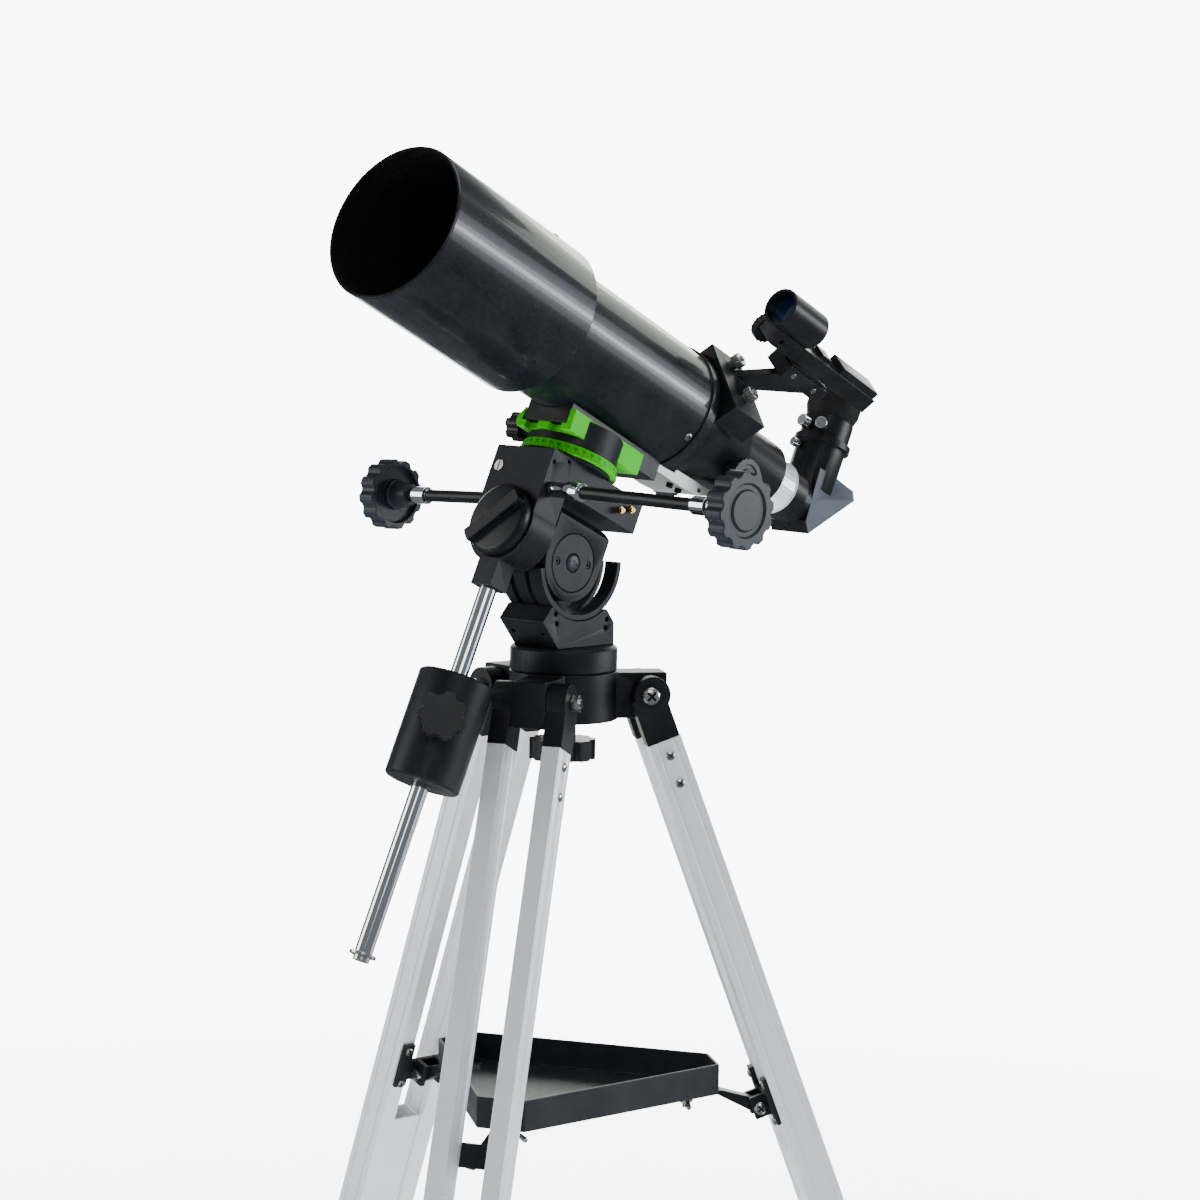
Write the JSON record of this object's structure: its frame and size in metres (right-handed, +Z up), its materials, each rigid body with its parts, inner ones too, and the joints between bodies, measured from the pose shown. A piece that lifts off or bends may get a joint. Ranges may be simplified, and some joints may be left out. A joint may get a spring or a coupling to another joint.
{
  "type": "refractor telescope",
  "caption": "Short refractor on an equatorial head with slow-motion rods, counterweight, red-dot finder, and a three-leg aluminium tripod with tray.",
  "frame": {"origin": "centre of the bounding box, on the floor", "axes": "+Z up; the tube and the polar axis lean back in the Y-Z plane, with the dew shield towards -Y"},
  "size_m": [0.5255, 0.6075, 1.0483],
  "materials": {
    "cast_black": "satin crackle paint",
    "gloss_black": "gloss with fine flake",
    "plastic_black": "matt",
    "knob_grey": "satin",
    "rail": "satin anodised",
    "screw": "bright",
    "nickel": "satin nickel",
    "shaft": "bright",
    "brass": "bright",
    "rubber": "matt",
    "green": "gloss anodised",
    "dove": "satin",
    "draw": "satin",
    "tray": "fine texture",
    "lens": "coated",
    "mirror": "polished",
    "blue": "blue coated"
  },
  "bodies": {
    "tripod": {"tripod_hub": "cast_black", "tripod_screws": "screw", "leg_brackets": "plastic_black", "leg_rails": "rail", "leg_lock_blocks": "plastic_black", "brace_arms": "plastic_black", "tray": "tray", "wing_nuts": "screw"},
    "azimuth_knob": {"azimuth_knob": "plastic_black"},
    "head": {"azimuth_disc": "cast_black", "mount_bracket": "cast_black"},
    "latitude_lock": {"latitude_lock": "plastic_black"},
    "polar": {"ra_housing": "cast_black", "ra_shaft": "shaft", "ra_worm_wheel": "brass"},
    "ra": {"dec_housing": "cast_black", "housing_screws": "brass", "cw_shaft": "shaft", "cw_stop": "screw"},
    "ra_slow": {"ra_worm_rod": "gloss_black", "ra_slow_knob": "knob_grey"},
    "ra_clutch": {"ra_clutch_knob": "plastic_black"},
    "counterweight": {"counterweight": "cast_black"},
    "counterweight_knob": {"counterweight_knob": "plastic_black"},
    "dec": {"dec_shaft": "shaft", "dec_worm_wheel": "brass", "setting_circle": "green", "dec_drum": "cast_black", "saddle": "green"},
    "dec_slow": {"dec_worm_rod": "gloss_black", "dec_slow_knob": "knob_grey"},
    "saddle_knob_a": {"saddle_knob_a": "knob_grey"},
    "saddle_knob_b": {"saddle_knob_b": "knob_grey"},
    "ota": {"dovetail_plate": "dove", "dew_shield": "gloss_black", "objective_cell": "cast_black", "objective_lens": "lens", "main_tube": "gloss_black", "focuser_body": "cast_black", "finder_shoe": "plastic_black", "finder_nuts": "nickel", "finder_clamp": "plastic_black"},
    "focus": {"drawtube": "draw"},
    "focus_knobs": {"focus_knobs": "knob_grey"},
    "diagonal": {"diagonal_body": "gloss_black", "diagonal_mirror": "mirror", "thumbscrews": "nickel"},
    "eyepiece": {"eyepiece": "gloss_black"},
    "finder": {"finder_body": "plastic_black", "finder_lens": "blue"},
    "finder_dial": {"finder_dial": "plastic_black"},
    "leg_a": {"lower_leg_a": "rail", "rubber_foot_a": "rubber"},
    "leg_lock_a": {"leg_lock_screw_a": "plastic_black"},
    "leg_b": {"lower_leg_b": "rail", "rubber_foot_b": "rubber"},
    "leg_lock_b": {"leg_lock_screw_b": "plastic_black"},
    "leg_c": {"lower_leg_c": "rail", "rubber_foot_c": "rubber"},
    "leg_lock_c": {"leg_lock_screw_c": "plastic_black"}
  },
  "joints": [
    {"name": "azimuth", "type": "hinge", "parent": "tripod", "child": "head", "pos_m": [0.0633, -0.0067, 0.72], "axis": [0, 0, 1], "continuous": true},
    {"name": "azimuth_knob_turn", "type": "hinge", "parent": "tripod", "child": "azimuth_knob", "pos_m": [0.0633, -0.0067, 0.72], "axis": [0, 0, -1], "range_deg": [0, 360]},
    {"name": "latitude", "type": "hinge", "parent": "head", "child": "polar", "pos_m": [0.0633, -0.0111, 0.7762], "axis": [-1, 0, 0], "range_deg": [-1.5, 40]},
    {"name": "latitude_lock_turn", "type": "hinge", "parent": "head", "child": "latitude_lock", "pos_m": [0.0433, -0.0111, 0.7315], "axis": [-1, 0, 0], "range_deg": [0, 90]},
    {"name": "right_ascension", "type": "hinge", "parent": "polar", "child": "ra", "pos_m": [0.0633, -0.01967, 0.78408], "axis": [0, -0.9056, 0.4242], "range_deg": [-60, 60]},
    {"name": "ra_slow_turn", "type": "hinge", "parent": "ra", "child": "ra_slow", "pos_m": [0.0633, -0.04441, 0.82791], "axis": [0.9998, -0.0089, -0.019], "range_deg": [-4320, 4320]},
    {"name": "ra_clutch_turn", "type": "hinge", "parent": "ra", "child": "ra_clutch", "pos_m": [0.0633, -0.01967, 0.78408], "axis": [0, -0.9056, 0.4242], "range_deg": [0, 90]},
    {"name": "counterweight_slide", "type": "slide", "parent": "ra", "child": "counterweight", "axis": [0, -0.4242, -0.9056], "range_m": [-0.05, 0.1]},
    {"name": "counterweight_knob_turn", "type": "hinge", "parent": "counterweight", "child": "counterweight_knob", "pos_m": [0.0633, -0.11878, 0.6748], "axis": [0.7071, -0.6403, 0.3], "range_deg": [0, 180]},
    {"name": "declination", "type": "hinge", "parent": "ra", "child": "dec", "pos_m": [0.0633, -0.03166, 0.78583], "axis": [0, 0.4242, 0.9056], "continuous": true},
    {"name": "dec_slow_turn", "type": "hinge", "parent": "ra", "child": "dec_slow", "pos_m": [0.0633, 0.01152, 0.8153], "axis": [-0.9994, -0.0148, -0.0316], "continuous": true},
    {"name": "saddle_knob_a_turn", "type": "hinge", "parent": "dec", "child": "saddle_knob_a", "pos_m": [0.04376, -0.00611, 0.86386], "axis": [-0.9988, -0.0442, 0.0207], "range_deg": [0, 360]},
    {"name": "saddle_knob_b_turn", "type": "hinge", "parent": "dec", "child": "saddle_knob_b", "pos_m": [0.04274, 0.01289, 0.85496], "axis": [-0.9988, -0.0442, 0.0207], "range_deg": [0, 360]},
    {"name": "tube_slide", "type": "slide", "parent": "dec", "child": "ota", "axis": [0.0488, -0.9045, 0.4237], "range_m": [-0.02, 0.02]},
    {"name": "focus", "type": "slide", "parent": "ota", "child": "focus", "axis": [-0.0488, 0.9045, -0.4237], "range_m": [-0.018, 0.045]},
    {"name": "focus_knob_turn", "type": "hinge", "parent": "ota", "child": "focus_knobs", "pos_m": [0.05666, 0.13768, 0.8271], "axis": [0.9988, 0.0442, -0.0207], "range_deg": [-520, 210]},
    {"name": "diagonal_turn", "type": "hinge", "parent": "focus", "child": "diagonal", "pos_m": [0.0633, 0.02493, 0.90663], "axis": [0.0488, -0.9045, 0.4237], "range_deg": [0, 90]},
    {"name": "eyepiece_slide", "type": "slide", "parent": "diagonal", "child": "eyepiece", "axis": [0, 0.4242, 0.9056], "range_m": [0, 0.02]},
    {"name": "finder_tilt", "type": "hinge", "parent": "ota", "child": "finder", "pos_m": [0.11145, 0.17997, 0.90634], "axis": [-0.7651, 0.2388, 0.598], "range_deg": [-1, 1]},
    {"name": "finder_dial_turn", "type": "hinge", "parent": "finder", "child": "finder_dial", "pos_m": [0.11492, 0.14275, 0.92563], "axis": [-0.7651, 0.2388, 0.598], "range_deg": [0, 270]},
    {"name": "leg_a_slide", "type": "slide", "parent": "tripod", "child": "leg_a", "axis": [0.1497, -0.3166, -0.9367], "range_m": [0, 0.26]},
    {"name": "leg_lock_a_turn", "type": "hinge", "parent": "tripod", "child": "leg_lock_a", "pos_m": [0.17894, -0.25134, 0.10829], "axis": [0.4003, -0.8468, 0.3502], "range_deg": [0, 180]},
    {"name": "leg_b_slide", "type": "slide", "parent": "tripod", "child": "leg_b", "axis": [0.1994, 0.2879, -0.9367], "range_m": [0, 0.26]},
    {"name": "leg_lock_b_turn", "type": "hinge", "parent": "tripod", "child": "leg_lock_b", "pos_m": [0.21734, 0.21577, 0.10829], "axis": [0.5332, 0.7701, 0.3502], "range_deg": [0, 180]},
    {"name": "leg_c_slide", "type": "slide", "parent": "tripod", "child": "leg_c", "axis": [-0.349, 0.0287, -0.9367], "range_m": [0, 0.26]},
    {"name": "leg_lock_c_turn", "type": "hinge", "parent": "tripod", "child": "leg_lock_c", "pos_m": [-0.20638, 0.01547, 0.10829], "axis": [-0.9335, 0.0767, 0.3502], "range_deg": [0, 180]}
  ],
  "couplings": [
    {"joint": "ra_slow_turn", "follows": "right_ascension", "ratio": 72},
    {"joint": "dec_slow_turn", "follows": "declination", "ratio": 72},
    {"joint": "focus_knob_turn", "follows": "focus", "rad_per_m": -200}
  ]
}
